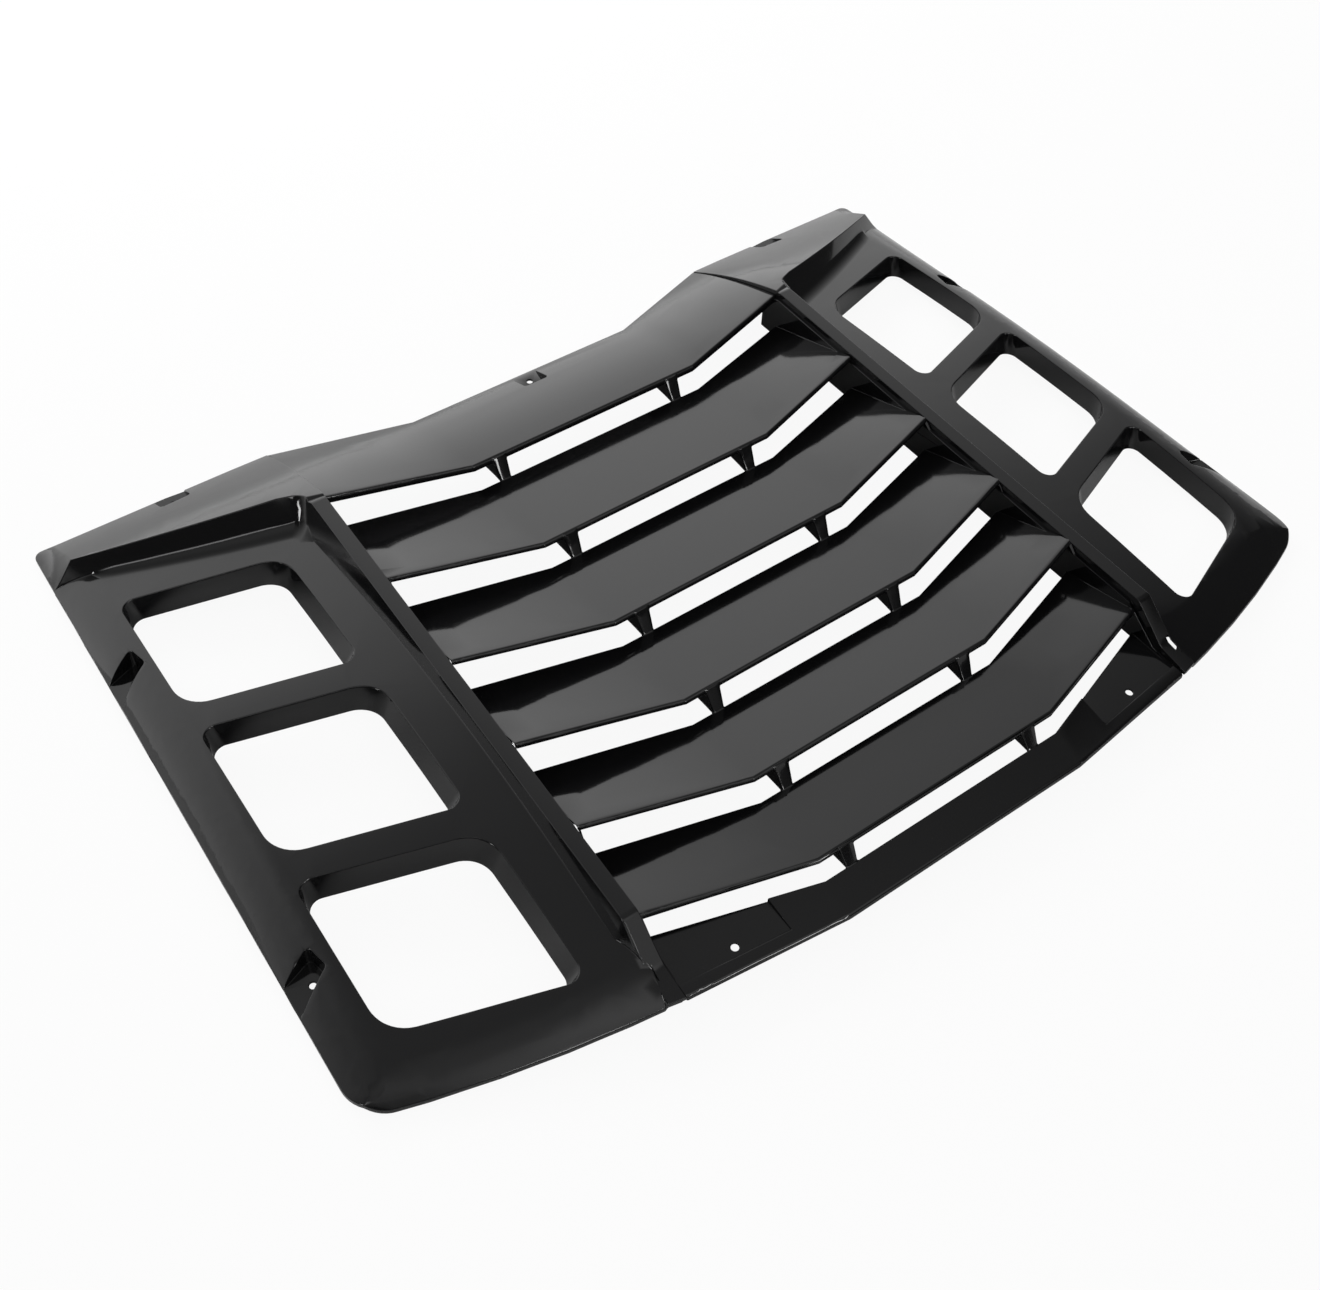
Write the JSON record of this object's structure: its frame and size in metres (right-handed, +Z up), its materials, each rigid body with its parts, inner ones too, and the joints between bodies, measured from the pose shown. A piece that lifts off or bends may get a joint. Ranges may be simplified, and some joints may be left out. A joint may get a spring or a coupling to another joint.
{
  "type": "rear window louver",
  "caption": "Glossy black moulded rear window louver with slats between two rails and flanged side windows.",
  "frame": {"origin": "middle of the louver's length and width, on the plane it rests on", "axes": "+Z up out of the window, +Y towards the roof, +X across the car"},
  "size_m": [1.2376, 0.8872, 0.098],
  "materials": {
    "gloss_black_plastic": "high gloss",
    "black_zinc_steel": "zinc plated",
    "washer_steel": "zinc plated"
  },
  "bodies": {
    "root": {"centre_louver_panel": "gloss_black_plastic", "left_side_panel": "gloss_black_plastic", "right_side_panel": "gloss_black_plastic", "seam_screw_left_1": "black_zinc_steel", "seam_head_washer_left_1": "washer_steel", "seam_nut_washer_left_1": "washer_steel", "seam_nut_left_1": "black_zinc_steel", "seam_screw_left_2": "black_zinc_steel", "seam_head_washer_left_2": "washer_steel", "seam_nut_washer_left_2": "washer_steel", "seam_nut_left_2": "black_zinc_steel", "seam_screw_left_3": "black_zinc_steel", "seam_head_washer_left_3": "washer_steel", "seam_nut_washer_left_3": "washer_steel", "seam_nut_left_3": "black_zinc_steel", "seam_screw_left_4": "black_zinc_steel", "seam_head_washer_left_4": "washer_steel", "seam_nut_washer_left_4": "washer_steel", "seam_nut_left_4": "black_zinc_steel", "seam_screw_right_1": "black_zinc_steel", "seam_head_washer_right_1": "washer_steel", "seam_nut_washer_right_1": "washer_steel", "seam_nut_right_1": "black_zinc_steel", "seam_screw_right_2": "black_zinc_steel", "seam_head_washer_right_2": "washer_steel", "seam_nut_washer_right_2": "washer_steel", "seam_nut_right_2": "black_zinc_steel", "seam_screw_right_3": "black_zinc_steel", "seam_head_washer_right_3": "washer_steel", "seam_nut_washer_right_3": "washer_steel", "seam_nut_right_3": "black_zinc_steel", "seam_screw_right_4": "black_zinc_steel", "seam_head_washer_right_4": "washer_steel", "seam_nut_washer_right_4": "washer_steel", "seam_nut_right_4": "black_zinc_steel"}
  },
  "joints": []
}
